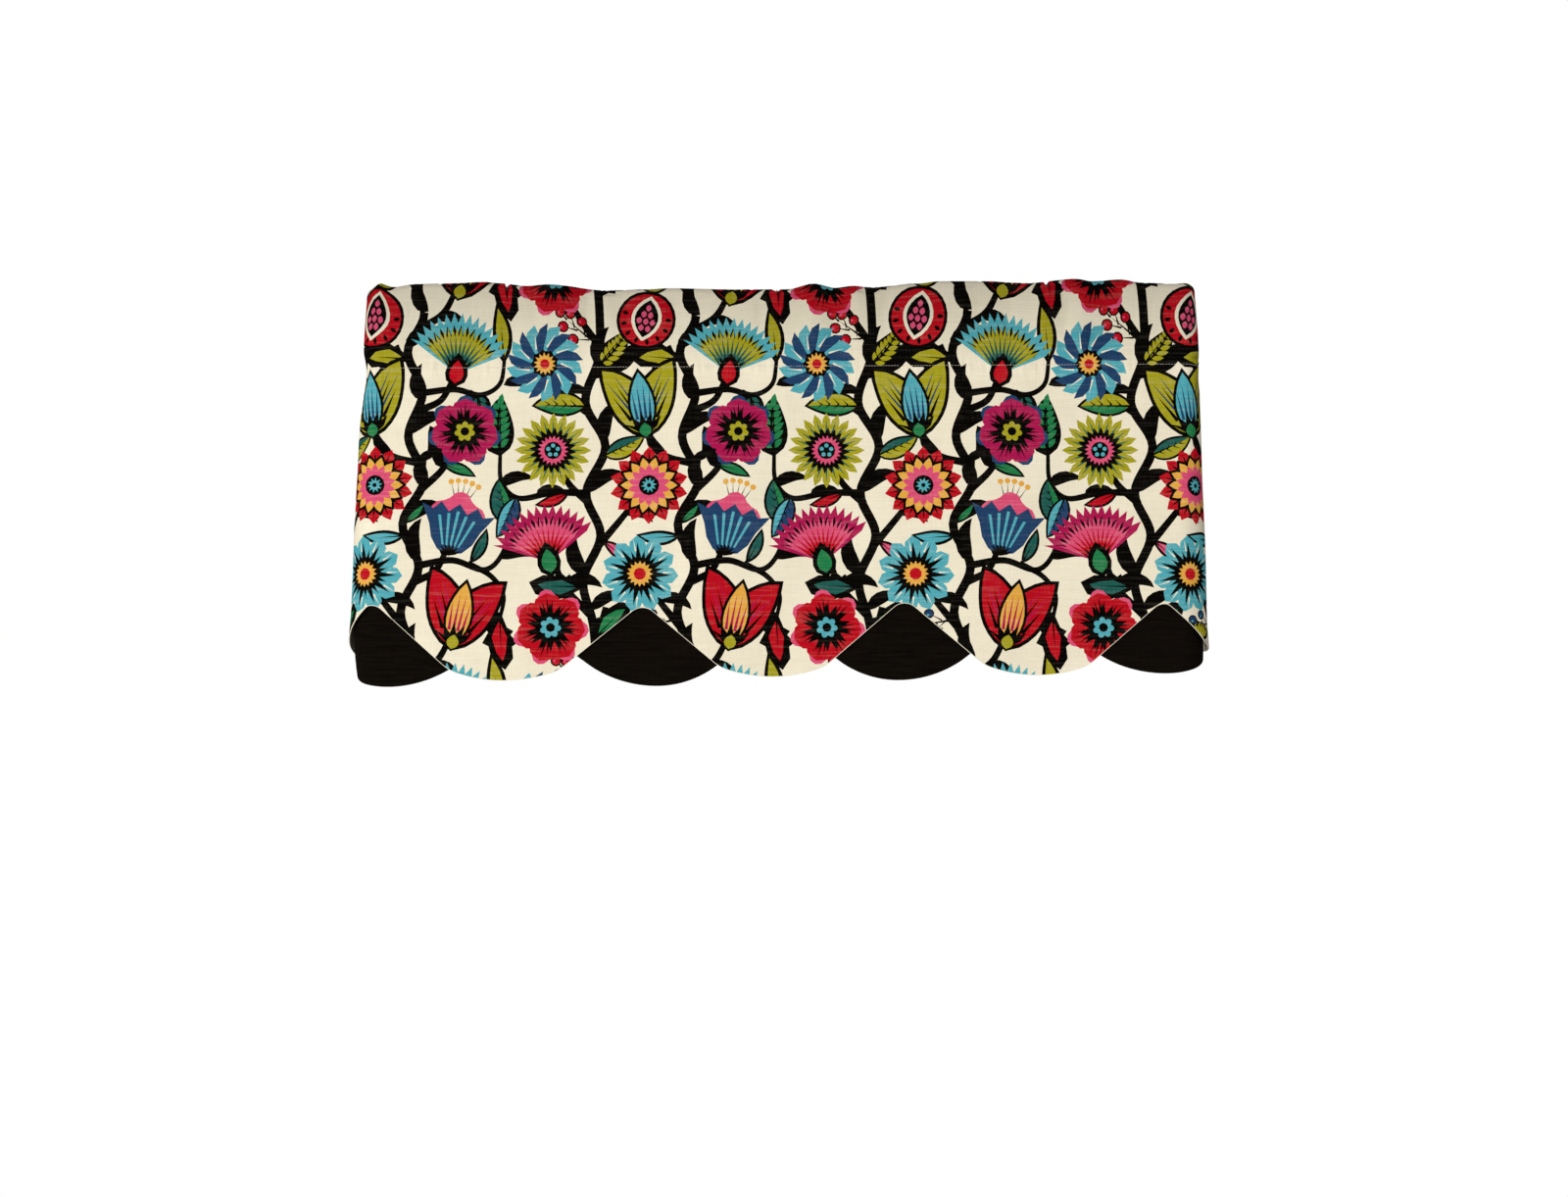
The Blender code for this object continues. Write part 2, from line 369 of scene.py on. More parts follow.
def turned(outline, degrees):
    """The outline turned anticlockwise about its origin."""
    cosine, sine = math.cos(math.radians(degrees)), math.sin(math.radians(degrees))
    return [(x * cosine - y * sine, x * sine + y * cosine) for x, y in outline]


def moved(outline, across, up):
    """The outline this far to the right and up."""
    return [(x + across, y + up) for x, y in outline]


def bent(outline, degrees, length):
    """The outline bent to its right, by this angle over this length up from its origin."""
    if not degrees:
        return outline
    radius = length / math.radians(degrees)
    bend = []
    for x, y in outline:
        angle = y / radius
        bend.append((radius - (radius - x) * math.cos(angle), (radius - x) * math.sin(angle)))
    return bend


def disc(radius, steps=14):
    return lobed(steps, radius, 0.0, 1)


def lobed(count, radius, depth, steps=4):
    """A round outline of lobes, with a notch of this depth between each two."""
    outline = []
    for step in range(count * steps):
        angle = math.tau * step / (count * steps)
        notch = depth * (1 - abs(math.cos(count * angle / 2)))
        outline.append(((radius - notch) * math.cos(angle), (radius - notch) * math.sin(angle)))
    return turned(outline, 90)


def toothed(count, tip, root, spread=360.0):
    """A round outline of sharp teeth. Below a whole turn it is a fan that opens upwards."""
    outline = [] if spread == 360.0 else [(0.0, 0.0)]
    for step in range(2 * count):
        angle = math.radians(90 + spread * ((step + 0.5) / (2 * count) - 0.5))
        radius = tip if step % 2 else root
        outline.append((radius * math.cos(angle), radius * math.sin(angle)))
    return outline


def petal(start, end, width, full=1.0, blunt=1.0, steps=5):
    """A petal that points up. Over 1, full moves its widest part out; below 1, blunt rounds it."""
    sides = [[], []]
    for step in range(steps + 1):
        share = step / steps
        half = width / 2 * math.sin(math.pi * share**full) ** blunt if 0 < share < 1 else 0.0
        sides[0].append((half, start + share * (end - start)))
        sides[1].append((-half, start + share * (end - start)))
    return sides[0] + sides[1][-2:0:-1]


def around(count, outline, turn=0.0):
    """Copies of the outline evenly round the middle, the first at this turn."""
    return [turned(outline, turn + 360 * step / count) for step in range(count)]


def fanned(count, outline, spread):
    """Copies of the outline spread out evenly, like a fan, over this angle."""
    return [turned(outline, spread * (step / (count - 1) - 0.5)) for step in range(count)]


def stroke(start, end, width, aside=0.0):
    """A brush stroke: wide at its start, sharp at its end."""
    return [(aside - width / 2, start), (aside + width / 2, start), (aside * 1.4, end)]


def painted(colour, outlines, up=0.0):
    """The outlines in one colour, this far up."""
    return [(colour, moved(outline, 0, up)) for outline in outlines]


# Flowers. Each is a list of (colour, outline), lowest first, about its own middle, with its
# stalk below, and about 100 across.


def daisy(petals, shade, eye, heart):
    shape = [(BLACK, disc(38, 22))]
    shape += painted(petals, around(11, petal(13, 50, 22, 1.7, 0.75)))
    shape += painted(shade, around(11, stroke(15, 42, 9)))
    shape += painted(CREAM, around(11, stroke(30, 46, 2.2), 6))
    shape += [(BLACK, toothed(22, 24, 18)), (eye, toothed(16, 17, 12.5)), (heart, disc(8, 9))]
    return shape


def dahlia(outer, middle, inner, heart):
    shape = painted(outer, around(14, petal(10, 50, 19, 1.25, 0.9)))
    shape += painted(BLACK, around(14, stroke(26, 44, 4.2)))
    shape += painted(BLACK, around(14, petal(8, 41, 16, 1.1, 0.9), 12.9))
    shape += painted(middle, around(14, petal(8, 36, 12.5, 1.1, 0.9), 12.9))
    shape += painted(inner, around(14, petal(6, 27, 9.5, 1.1, 0.9)))
    shape += [(BLACK, disc(13, 12)), (heart, toothed(10, 10, 5.5)), (BLACK, disc(3, 6))]
    return shape


def mallow(rim, petals, shade, eye):
    shape = [(rim, lobed(7, 50, 17, 6))]
    shape += painted(petals, around(7, petal(8, 45, 34, 1.8, 0.62, 6)))
    for turn in (-11, 0, 11):
        shape += painted(shade, around(7, stroke(12, 37 if turn else 41, 5), turn))
    shape += [(BLACK, toothed(14, 32, 19)), (eye, lobed(7, 14, 4, 4)), (BLACK, disc(6, 8))]
    return shape


def pinwheel(light, dark, eye, heart):
    shape = [(dark, disc(33, 18))]
    for turn, colour, width in ((0, light, 19), (20, dark, 13)):
        blade = bent(petal(0, 55, width, 1.5, 0.8), 62, 50)
        shape += painted(colour, around(9, blade, turn))
    shape += painted(CREAM, around(9, bent(stroke(22, 44, 2.6, 1.0), 62, 50), -2))
    shape += [(BLACK, lobed(9, 19, 5, 3)), (eye, toothed(14, 15, 10)), (heart, disc(6.5, 8))]
    return shape


def carnation(fringe, body, shade, cup):
    shape = painted(fringe, [toothed(15, 74, 62, 128)], -32)
    shape += painted(BLACK, [toothed(13, 60, 48, 118)], -32)
    shape += painted(body, [toothed(19, 57, 45, 116)], -32)
    shape += painted(shade, fanned(11, stroke(18, 47, 5), 96), -32)
    shape += painted(BLACK, [toothed(7, 30, 19, 100)], -36)
    shape += painted(BLACK, [petal(-22, 24, 30, 0.8, 0.7)], -30)
    shape += painted(cup, [petal(-16, 15, 19, 0.8, 0.8)], -30)
    return shape


def tulip(side, middle, shade, cup):
    shape = []
    for hand in (-1, 1):
        leaning = [(BLACK, petal(-4, 108, 52, 0.85, 0.75, 9))]
        leaning += [(side, petal(2, 101, 43, 0.85, 0.75, 9))]
        leaning += [(BLACK, stroke(26, 76 - abs(aside), 5, aside)) for aside in (-9, 0, 9)]
        leaning += [(shade, stroke(40, 92 - abs(aside), 3, aside)) for aside in (-4.5, 4.5)]
        for colour, outline in leaning:
            leant = turned(bent(outline, 26 * hand, 100), 13 * -hand)
            shape += painted(colour, [leant], -48)
    shape.append((BLACK, petal(-46, 40, 36, 0.85, 0.8, 8)))
    shape.append((middle, petal(-42, 34, 29, 0.85, 0.8, 8)))
    for aside in (-8, -2.7, 2.7, 8):
        shape.append((shade, stroke(-26, 24 - abs(aside) * 1.6, 4, aside)))
    shape += painted(BLACK, [toothed(5, 32, 19, 120)], -48)
    shape += painted(cup, [petal(0, 18, 15, 0.9, 0.8)], -49)
    return shape


def pomegranate(skin, rind, seeds, crown):
    shape = painted(BLACK, fanned(5, petal(0, 25, 11), 92), 27)
    shape += painted(crown, fanned(5, petal(2, 19, 6), 86), 29)
    shape += painted(BLACK, [disc(38, 24)], -8)
    shape += painted(skin, [disc(34, 22)], -8)
    marks = fanned(8, petal(24, 33, 5), 200)
    shape += painted(BLACK, [turned(mark, 180) for mark in marks], -8)
    shape += [(rind, petal(-36, 24, 39, 1, 0.8, 8)), (BLACK, petal(-31, 19, 30, 1, 0.8, 8))]
    for row, count in ((-19, 2), (-10, 3), (-1, 2), (8, 1)):
        for step in range(count):
            seed = petal(-4.6, 4.6, 7, 1, 0.7, 4)
            shape.append((seeds, moved(seed, 8.6 * (step - (count - 1) / 2), row)))
    return shape


def bellflower(bell, stripe, lining, stamens):
    shape = painted(BLACK, fanned(5, stroke(0, 40, 3), 50), 4)
    shape += painted(stamens, fanned(5, moved(disc(3.6, 7), 0, 39), 50), 4)
    shape += painted(lining, [lobed(5, 34, 9, 5)], -4)
    cup = [(0, -46), (15, -42), (25, -30), (31, -14), (44, 8), (30, 4), (22, 14), (11, 4)]
    cup += [(0, 15)] + [(-x, y) for x, y in cup[:0:-1]]
    shape.append((bell, cup))
    for aside, top in ((-21, -2), (-10.5, 2), (0, 6), (10.5, 2), (21, -2)):
        line = [(aside * 0.45 - 1.2, -36), (aside * 0.45 + 1.2, -36), (aside + 1.8, top)]
        shape.append((stripe, [*line, (aside - 1.8, top)]))
    return shape + painted(BLACK, [toothed(7, 16, 9, 150)], -48)


def aster(petals, shade, ring, heart):
    shape = painted(petals, around(20, petal(12, 50, 11.5, 1.4, 0.8, 4)))
    shape += painted(shade, around(20, stroke(20, 42, 3.6)))
    shape += [(BLACK, toothed(20, 31, 23)), (ring, toothed(20, 20, 15)), (BLACK, disc(11.5, 12))]
    for turn in range(0, 360, 72):
        shape.append((heart, moved(disc(3, 6), *turned([(0, 6.5)], turn)[0])))
    return shape


# Leaves. Each starts at its own stalk and points up, 100 long, and then bends to its right.


def bent_leaf(shape, bend):
    return [(colour, bent(outline, bend, 100)) for colour, outline in shape]


def two_tone_leaf(light, dark, bend):
    """A black leaf with a light half, a dark half and black ribs."""
    edge = petal(0, 100, 46, 0.85, 0.85, 9)
    half = [(x * 0.78, 5 + y * 0.88) for x, y in edge]
    left = [(0.0, 92.0)] + [(x, y) for x, y in half if x < -0.01] + [(0.0, 6.0)]
    shape = [(BLACK, edge), (light, half), (dark, left)]
    for height in (20, 36, 52, 66):
        for hand in (-1, 1):
            reach = 11.5 - abs(height - 38) * 0.12
            shape.append((BLACK, [(0, height), (0, height + 4), (hand * reach, height + 13)]))
    shape.append((BLACK, stroke(0, 84, 4.5)))
    return bent_leaf(shape, bend)


def jagged_leaf(fill, bend):
    """A black leaf with hooked edges and a small coloured inside."""
    right = [(4, 0), (13, 20), (24, 27), (19, 34), (30, 50), (20, 56), (18, 78)]
    edge = [(0, 0), *right, (0, 100), *[(-x, y + 6) for x, y in right[::-1]]]
    inner = [(0, 14), (8, 30), (13, 42), (11, 52), (8, 68), (0, 84)]
    inner += [(-x, y + 2) for x, y in inner[-2:0:-1]]
    shape = [(BLACK, edge), (fill, inner), (BLACK, stroke(10, 70, 3.5))]
    return bent_leaf(shape, bend)


def frond(colour, bend):
    """A dark leaf with coloured leaflets in pairs on a thin rib."""
    shape = [(BLACK, petal(-2, 106, 56, 0.72, 0.8, 9))]
    for step in range(6):
        size = 31 - abs(step - 1.6) * 4.4
        leaflet = petal(2, size, 10.5, 0.9, 0.75, 4)
        for hand in (-1, 1):
            shape.append((colour, moved(turned(leaflet, hand * 46), 0, 12 + 13.5 * step)))
    shape.append((colour, moved(petal(0, 26, 11, 0.9, 0.8, 4), 0, 84)))
    shape.append((BLACK, stroke(0, 94, 4.5)))
    return bent_leaf(shape, bend)


def willow_leaf(fill, bend):
    """A slim black leaf with a coloured inside."""
    shape = [(BLACK, petal(0, 100, 34, 0.9, 0.9, 8)), (fill, petal(9, 90, 21, 0.95, 1, 7))]
    shape.append((BLACK, stroke(10, 62, 4)))
    return bent_leaf(shape, bend)


def berries(fruit, shine, bend):
    """A sprig of five berries."""
    shape = [(BLACK, stroke(0, 84, 7))]
    for side, height in ((-20, 48), (20, 58), (-15, 78), (14, 86), (0, 102)):
        root = height - (26 if side else 20)
        shape.append((BLACK, [(-2.4, root), (2.4, root), (side, height)]))
        shape.append((BLACK, moved(disc(11.5, 10), side, height)))
        shape.append((fruit, moved(disc(8.6, 9), side, height)))
        shape.append((shine, moved(disc(2.8, 5), side - 2.5, height + 2.5)))
    return bent_leaf(shape, bend)


def hook():
    """A small leaf that curls over, as thorns do along a stem."""
    return bent_leaf([(BLACK, petal(-6, 100, 34, 0.75, 0.8, 7))], 78)


def smooth(a, b, c, d, share):
    """This share of the way from b to c on a smooth curve that goes on to a and d."""
    square = (2 * a - 5 * b + 4 * c - d) * share**2
    cube = (3 * b - a - 3 * c + d) * share**3
    return 0.5 * (2 * b + (c - a) * share + square + cube)


def ribbon(route, start_width, end_width, steps=7, led=False):
    """A stem along a smooth curve through the route, tapering evenly. One that is led in
    and out by its neighbours starts at its second point and ends at its last but one."""
    points = list(route)
    if not led:
        points.insert(0, tuple(2 * a - b for a, b in zip(route[0], route[1])))
        points.append(tuple(2 * a - b for a, b in zip(route[-1], route[-2])))
    line = []
    for four in zip(points, points[1:], points[2:], points[3:]):
        for step in range(steps):
            line.append(tuple(smooth(*numbers, step / steps) for numbers in zip(*four)))
    line.append(points[-2])
    left, right = [], []
    for index, (x, y) in enumerate(line):
        before, after = line[max(index - 1, 0)], line[min(index + 1, len(line) - 1)]
        across, up = after[0] - before[0], after[1] - before[1]
        share = index / (len(line) - 1)
        half = (start_width + share * (end_width - start_width)) / 2 / math.hypot(across, up)
        left.append((x - up * half, y + across * half))
        right.append((x + up * half, y - across * half))
    return left + right[::-1]


REPEAT_START = (0.0, -38.0)  # moves the whole print on the cloth

# Everything in the repeat, in millimetres from its lower left corner. Each vine runs on
# from one repeat into the next.
VINES = (
    (
        *((100, -44), (101, -4), (97, 42), (86, 88), (104, 136), (88, 182)),
        *((108, 232), (86, 280), (100, 328), (101, 368), (97, 414)),
    ),
    (
        *((187, -38), (204, 2), (186, 54), (204, 102), (186, 148), (208, 196)),
        *((190, 242), (204, 290), (187, 334), (204, 374), (186, 426)),
    ),
)
VINE_WIDTH = 9.5

# Stalks: the route, and the widths at both ends.
STALKS = (
    (((100, -30), (78, 0), (54, 36)), 8.5, 5.5),
    (((93, 52), (66, 82), (53, 116)), 8.5, 6.0),
    (((92, 170), (68, 194), (56, 228)), 8.5, 5.5),
    (((90, 268), (63, 289), (44, 322)), 8.5, 5.5),
    (((93, -63), (128, -52), (146, -26)), 8.5, 6.0),
    (((191, 36), (170, 62), (146, 94)), 8.5, 5.5),
    (((101, 124), (126, 154), (154, 190)), 8.5, 5.5),
    (((203, 213), (170, 223), (150, 250)), 8.5, 6.0),
    (((196, -16), (224, 0), (240, 28)), 8.5, 6.0),
    (((200, 86), (222, 98), (234, 122)), 8.5, 6.0),
    (((206, 186), (228, 208), (250, 246)), 8.5, 5.5),
    (((200, 270), (224, 282), (236, 306)), 8.5, 6.0),
    (((205, 104), (240, 109), (274, 99), (293, 118), (298, 150)), 8.0, 4.0),
    (((256, 106), (281, 92), (294, 72), (291, 48)), 6.5, 4.0),
    (((88, 182), (52, 182), (16, 176), (-2, 194), (-4, 226)), 8.0, 4.0),
    (((204, 290), (238, 294), (266, 288), (286, 300), (291, 328)), 8.0, 4.0),
)

# Flowers and leaves: the shape, its place, its turn and its size. Hooks are all one shape,
# so their rows leave it out.
FLOWERS = (
    (mallow(PINK, RED, BLACK, TURQUOISE), 52, 38, 8, 82),
    (carnation(MAGENTA, PINK, RED, GREEN), 44, 134, 12, 84),
    (aster(LIME, TEAL, PINK, TURQUOISE), 52, 228, 0, 82),
    (pinwheel(TURQUOISE, NAVY, AMBER, RED), 42, 322, 10, 80),
    (pomegranate(RED, CREAM, PINK, LIME), 152, 4, -12, 84),
    (daisy(TURQUOISE, BLACK, AMBER, RED), 146, 95, 5, 82),
    (dahlia(RED, AMBER, PINK, TURQUOISE), 155, 190, 0, 84),
    (tulip(LIME, TURQUOISE, NAVY, GREEN), 146, 284, 8, 86),
    (tulip(RED, AMBER, MAGENTA, LIME), 249, 56, -12, 86),
    (bellflower(NAVY, TURQUOISE, PINK, AMBER), 244, 156, -12, 90),
    (mallow(NAVY, MAGENTA, BLACK, LIME), 250, 248, 0, 80),
    (carnation(TURQUOISE, LIME, TEAL, RED), 243, 338, -8, 82),
)
HOOKS = (
    *((214, 252, -150, 40), (232, 114, 20, 34), (119, 110, -50, 36)),
    *((70, 86, -60, 40), (130, 160, -70, 34), (66, 202, 70, 34)),
    *((168, 68, -70, 38), (172, 224, 70, 36), (226, 210, 30, 40)),
    *((218, -4, -70, 36), (60, 292, -60, 34), (76, 4, 80, 34)),
    *((88, 96, 52, 50), (97, 58, -30, 40), (90, 184, -28, 48)),
    *((108, 240, 20, 48), (101, 322, 25, 45), (203, 110, 35, 48)),
    *((187, 150, -32, 52), (207, 190, 30, 42), (190, 246, -28, 48)),
    *((203, 284, 40, 42), (187, 340, -30, 45), (203, 4, 40, 42)),
    *((118, -57, -10, 42), (36, 180, -50, 35), (250, 292, -120, 38)),
    *((292, 300, -60, 38), (292, 112, -50, 38), (-2, 190, -40, 38)),
)
LEAVES = (
    (two_tone_leaf(GREEN, TEAL, 30), 298, 146, 26, 54),
    (jagged_leaf(RED, -24), 291, 54, 174, 62),
    (frond(GREEN, 20), 288, 222, 10, 62),
    (willow_leaf(LIME, -20), 290, 322, -2, 62),
    (jagged_leaf(GREEN, 30), 98, 24, -32, 56),
    (two_tone_leaf(LIME, TEAL, -20), 106, 222, -74, 50),
    (willow_leaf(TURQUOISE, 30), 189, 136, 104, 48),
    (willow_leaf(GREEN, 24), 226, 212, -98, 40),
    (jagged_leaf(LIME, -30), 190, 326, 74, 56),
    (jagged_leaf(TEAL, 24), 88, 82, 98, 60),
    (two_tone_leaf(LIME, GREEN, -20), 88, 276, 80, 60),
    (willow_leaf(RED, 30), 70, 183, 126, 40),
    (willow_leaf(TEAL, -30), 258, 106, -40, 42),
    (frond(LIME, -30), 99, 320, -54, 48),
    (berries(RED, PINK, 20), 100, 342, 62, 52),
    (berries(NAVY, TURQUOISE, -20), 188, 46, 90, 46),
    (frond(TEAL, 30), 262, 290, -160, 42),
    (two_tone_leaf(TURQUOISE, NAVY, 20), 14, 178, 165, 50),
    (willow_leaf(PINK, 30), 106, 130, -118, 40),
    (willow_leaf(GREEN, -30), 188, 150, -60, 30),
)


def set_down(shape, x, y, angle, size):
    """The shape at its size and turn, moved to its place."""
    share = size / 100
    laid = []
    for colour, outline in shape:
        sized = [(across * share, up * share) for across, up in outline]
        laid.append((colour, moved(turned(sized, angle), x, y)))
    return laid


def repeat():
    """Everything printed in one repeat, lowest first."""
    shapes = [[(BLACK, ribbon(route, VINE_WIDTH, VINE_WIDTH, led=True))] for route in VINES]
    shapes += [[(BLACK, ribbon(*stalk))] for stalk in STALKS]
    shapes += [set_down(hook(), *row) for row in HOOKS]
    return shapes + [set_down(*piece) for piece in (*LEAVES, *FLOWERS)]


# ---------------------------------------------------------------- materials

# The last number of each is how much ink lies on the bare cloth.
INKS = {
    "cream": (0.880, 0.805, 0.620, 0.0),
    "cream edge": (0.880, 0.810, 0.640, 1.0),
    "black": (0.0022, 0.0016, 0.0010, 1.0),
    "red": (0.480, 0.0040, 0.0120, 1.0),
    "magenta": (0.400, 0.0090, 0.0740, 1.0),
    "pink": (0.690, 0.075, 0.170, 1.0),
    "turquoise": (0.080, 0.385, 0.440, 1.0),
    "navy": (0.0150, 0.0500, 0.1250, 1.0),
    "lime": (0.370, 0.330, 0.0110, 1.0),
    "green": (0.0130, 0.1900, 0.0600, 1.0),
    "teal": (0.0130, 0.1000, 0.0800, 1.0),
    "amber": (0.760, 0.380, 0.055, 1.0),
}
CLOUDED_CREAM = (0.835, 0.755, 0.570)
REVERSE_CREAM = (0.780, 0.715, 0.560)
BLACKS = (0.0022, 0.0014, 0.0009), (0.0080, 0.0055, 0.0036), (0.0068, 0.0044, 0.0031)
# Thread colours: first the painted shade in the grooves between plies, then the thread's own
# colour on the plies.
THREAD_GROOVE_SHADE_AND_COLOUR = (0.60, 0.55, 0.43), (0.86, 0.81, 0.68)
SHOW_THROUGH = 0.22  # how much of the print is left on the reverse
THREAD_PITCH = 0.00085
BLACK_PITCH = THREAD_PITCH * 1.15
PLY_PITCH = 0.0006
# Spots a metre, across and up the cloth.
WEFT_SLUBS = (34.0, 820.0)
WARP_SLUBS = (820.0, 34.0 * 1.3)
INK_STREAKS = (21.0, 330.0)
BLACK_STREAKS = (26.0, 390.0)
INK_CLOUDS = 14.0
BLACK_CLOUDS = 9.0
# How much of the bare cloth shows through dry ink: in any ink, and more in a pale one.
DRY_ANY = 0.020
DRY_PALE = 0.55


class Socket:
    """A node's output. Sums of sockets and numbers add Math nodes."""

    def __init__(self, look, output):
        self.look = look
        self.output = output

    def math(self, operation, *others):
        """A Math node of this socket and the others."""
        inputs = dict(enumerate((self, *others)))
        return self.look.node("ShaderNodeMath", {"operation": operation}, inputs)

    def __add__(self, other):
        return self.math("ADD", other)

    def __sub__(self, other):
        return self.math("SUBTRACT", other)

    def __mul__(self, other):
        return self.math("MULTIPLY", other)

    def __rsub__(self, other):
        return (self * -1.0).math("ADD", other)

    __radd__ = __add__
    __rmul__ = __mul__

    def sine(self):
        return self.math("SINE")

    def between(self, low, high):
        """From 0 at the low value to 1 at the high one."""
        ends = {1: low, 2: high, 3: 0.0, 4: 1.0}
        return self.look.node("ShaderNodeMapRange", {}, {0: self, **ends})


class Look:
    """A material, and the nodes that make it."""

    def __init__(self, name, **constants):
        self.material = bpy.data.materials.new(name)
        self.material.use_nodes = True
        self.tree = self.material.node_tree
        self.shader = self.tree.nodes["Principled BSDF"]
        for socket, value in constants.items():
            self.shader.inputs[socket.replace("_", " ")].default_value = value

    def node(self, kind, settings, inputs, output=0):
        """A node with these settings and inputs, and the output asked for."""
        node = self.tree.nodes.new(kind)
        for name, value in settings.items():
            setattr(node, name, value)
        for name, value in inputs.items():
            self.feed(node.inputs[name], value)
        return Socket(self, node.outputs[output])

    def feed(self, socket, value):
        if isinstance(value, Socket):
            self.tree.links.new(value.output, socket)
        else:
            socket.default_value = value

    def mix(self, factor, first, second, blend="MIX"):
        """From the first colour, at factor 0, to the second."""
        settings = {"data_type": "RGBA", "blend_type": blend}
        colours = [c if isinstance(c, Socket) else (*c[:3], 1.0) for c in (first, second)]
        return self.node("ShaderNodeMix", settings, {0: factor, 6: colours[0], 7: colours[1]}, 2)

    def noise(self, place, scale, detail=3.0, roughness=0.55):
        inputs = {"Vector": place, "Scale": scale, "Detail": detail, "Roughness": roughness}
        return self.node("ShaderNodeTexNoise", {}, inputs)

    def streaks(self, place, across, up):
        """Noise with so many spots a metre each way."""
        settings = {"Vector": place, "Scale": (across, up, 1.0)}
        return self.noise(self.node("ShaderNodeMapping", {}, settings), 1.0)

    def split(self, place, *axes):
        """The place's own number along each of these axes."""
        node = self.tree.nodes.new("ShaderNodeSeparateXYZ")
        self.feed(node.inputs[0], place)
        return [Socket(self, node.outputs[axis]) for axis in axes]

    def finish(self, colour, roughness, strength, distance, height):
        """Feeds the shader, with a bump of this height. Returns the material."""
        inputs = {"Strength": strength, "Distance": distance, "Height": height}
        bump = self.node("ShaderNodeBump", {}, inputs)
        for name, value in (("Base Color", colour), ("Roughness", roughness), ("Normal", bump)):
            self.feed(self.shader.inputs[name], value)
        return self.material

    def weave(self, pitch):
        """The cloth's own nodes: its flat place, its slubs and the height of its threads."""
        place = self.node("ShaderNodeUVMap", {"uv_map": "cloth"}, {})
        weft = self.streaks(place, *WEFT_SLUBS)
        warp = self.streaks(place, *WARP_SLUBS)
        across, up = self.split(place, 0, 1)
        over = (across * (math.pi / pitch)).sine() * (up * (math.pi / pitch)).sine()
        return place, weft, warp, over


def make_printed_cotton(name, show_through):
    """Cotton duck, with this share of the print left on this side of it."""
    look = Look(name, Metallic=0.0, Specular_IOR_Level=0.02)
    place, weft, warp, over = look.weave(THREAD_PITCH)
    printed = look.tree.nodes.new("ShaderNodeAttribute")
    printed.attribute_name = "print"
    colour, ink = Socket(look, printed.outputs["Color"]), Socket(look, printed.outputs["Alpha"])
    cloud = look.noise(place, INK_CLOUDS, 2.0)
    thick = look.streaks(place, *INK_STREAKS)
    dry = (thick * 0.5 + weft * 0.3 + warp * 0.2).between(0.50, 0.64)
    ground = look.mix(cloud.between(0.3, 0.7), INKS["cream"], CLOUDED_CREAM)
    colour = look.mix(1.0 - ink, colour, ground)
    paleness = look.node("ShaderNodeRGBToBW", {}, {"Color": colour})
    colour = look.mix(dry * ink * (DRY_ANY + DRY_PALE * paleness), colour, ground)
    if show_through < 1.0:
        colour = look.mix(1.0 - show_through, colour, REVERSE_CREAM)
    slub = 0.81 + 0.38 * (weft * 0.55 + warp * 0.45)
    # Painted shade: the weave's hollows, low in the bump, are made a little darker. The slubs and
    # the ink's thickness make the tone lighter and darker.
    shade = slub * (0.95 + 0.10 * thick + 0.035 * over)
    tone = look.node("ShaderNodeCombineColor", {}, {0: shade, 1: shade, 2: shade})
    colour = look.mix(1.0, colour, tone, "MULTIPLY")
    height = over * 0.35 + weft * 0.9 + warp * 0.7
    return look.finish(colour, 0.78 + 0.2 * weft, 0.35, 0.0005, height)


def make_black_cotton():
    """The same cotton, a little coarser, dyed black through and through."""
    look = Look("black_cotton", Metallic=0.0, Specular_IOR_Level=0.02)
    place, weft, warp, over = look.weave(BLACK_PITCH)
    cloud = look.noise(place, BLACK_CLOUDS, 2.0)
    thick = look.streaks(place, *BLACK_STREAKS)
    slub = (thick * 0.5 + weft * 0.3 + warp * 0.2).between(0.38, 0.64)
    deep, raised, faint = BLACKS
    colour = look.mix(slub, deep, raised)
    colour = look.mix(cloud.between(0.4, 0.8) * 0.4, colour, faint)
    height = over * 0.4 + weft * 0.9 + warp * 0.8
    return look.finish(colour, 0.8 + 0.18 * warp, 0.4, 0.0005, height)


def make_thread():
    """Sewing thread. Its plies lie slanting along each stitch, with painted shade in the grooves
    between them.
    """
    look = Look("sewing_thread", Metallic=0.0, Specular_IOR_Level=0.3)
    place = look.node("ShaderNodeTexCoord", {}, {}, "Object")
    across, up = look.split(place, 0, 2)
    plies = ((across + up) * (math.tau / PLY_PITCH)).sine().between(-1.0, 1.0)
    # Painted shade: where the plies sink low in the bump, between them, the thread is coloured
    # darker.
    return look.finish(look.mix(plies, *THREAD_GROOVE_SHADE_AND_COLOUR), 0.55 + 0.2 * plies, 0.5, 0.0001, plies)


# ---------------------------------------------------------------- cloth pieces

MM = 0.001
EDGE_ROUND = 0.00030
FACING_STEP = 0.0004
BLACK_COLUMNS, BLACK_ROWS = 372, 40

